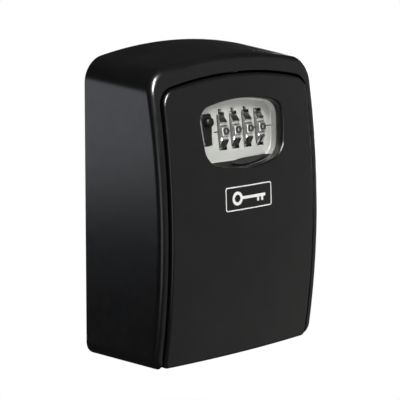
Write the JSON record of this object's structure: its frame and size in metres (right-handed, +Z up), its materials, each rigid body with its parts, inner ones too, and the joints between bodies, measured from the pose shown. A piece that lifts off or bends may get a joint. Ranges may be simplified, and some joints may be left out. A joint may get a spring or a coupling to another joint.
{
  "type": "key lock box",
  "caption": "Wall-mounted key safe: arched die-cast housing, fold-down crowned door, number wheels and a sliding lever in a sunk window.",
  "frame": {"origin": "middle of the base, at the middle of the overall depth", "axes": "+Z up, +Y towards the wall behind the back face, -Y towards the user, X across"},
  "size_m": [0.105, 0.0516, 0.1397],
  "materials": {
    "black_cast": "satin black powder coat on die-cast zinc",
    "silver_cast": "satin silver",
    "wheel": "bright turned metal with black filled digits",
    "black_moulded": "fine matt",
    "zinc_steel": "zinc plated",
    "spring_steel": "bright spring steel",
    "brass": "turned",
    "red_moulded": "smooth"
  },
  "bodies": {
    "housing": {"housing": "black_cast", "keeper_plate": "zinc_steel", "keeper_screw_1": "zinc_steel", "keeper_screw_2": "zinc_steel", "hinge_pin_left": "zinc_steel", "hinge_pin_right": "zinc_steel"},
    "door": {"door": "black_cast", "dial_plate": "silver_cast", "pull_tab": "black_moulded", "lock_case": "black_moulded", "lock_screw_1": "zinc_steel", "lock_screw_2": "zinc_steel", "lock_screw_3": "zinc_steel", "lock_screw_4": "zinc_steel", "wheel_shaft": "zinc_steel", "shaft_clip": "spring_steel", "detent_spring": "spring_steel", "latch_spring": "spring_steel"},
    "dial_1": {"number_wheel_1": "wheel", "code_sleeve_1": "brass"},
    "dial_2": {"number_wheel_2": "wheel", "code_sleeve_2": "brass"},
    "dial_3": {"number_wheel_3": "wheel", "code_sleeve_3": "brass"},
    "dial_4": {"number_wheel_4": "wheel", "code_sleeve_4": "brass"},
    "latch": {"latch_slide": "zinc_steel", "open_lever": "black_moulded"},
    "code_lever": {"code_lever": "red_moulded"}
  },
  "joints": [
    {"name": "door_hinge", "type": "hinge", "parent": "housing", "child": "door", "pos_m": [0, -0.01396, 0.0034], "axis": [1, 0, 0], "range_deg": [0, 100]},
    {"name": "dial_1_turn", "type": "hinge", "parent": "door", "child": "dial_1", "pos_m": [-0.00645, -0.00769, 0.10114], "axis": [1, 0, 0], "continuous": true},
    {"name": "dial_2_turn", "type": "hinge", "parent": "door", "child": "dial_2", "pos_m": [0.00125, -0.00769, 0.10114], "axis": [1, 0, 0], "continuous": true},
    {"name": "dial_3_turn", "type": "hinge", "parent": "door", "child": "dial_3", "pos_m": [0.00895, -0.00769, 0.10114], "axis": [1, 0, 0], "continuous": true},
    {"name": "dial_4_turn", "type": "hinge", "parent": "door", "child": "dial_4", "pos_m": [0.01665, -0.00769, 0.10114], "axis": [1, 0, 0], "continuous": true},
    {"name": "lever_slide", "type": "slide", "parent": "door", "child": "latch", "axis": [0, -0.1366, -0.9906], "range_m": [-0.0025, 0.0055], "stiffness_N_per_m": 300, "deforming": ["latch_spring"]},
    {"name": "code_lever_turn", "type": "hinge", "parent": "door", "child": "code_lever", "pos_m": [0.014, 0.00556, 0.09861], "axis": [0, 0.9906, -0.1366], "range_deg": [0, 90]}
  ]
}
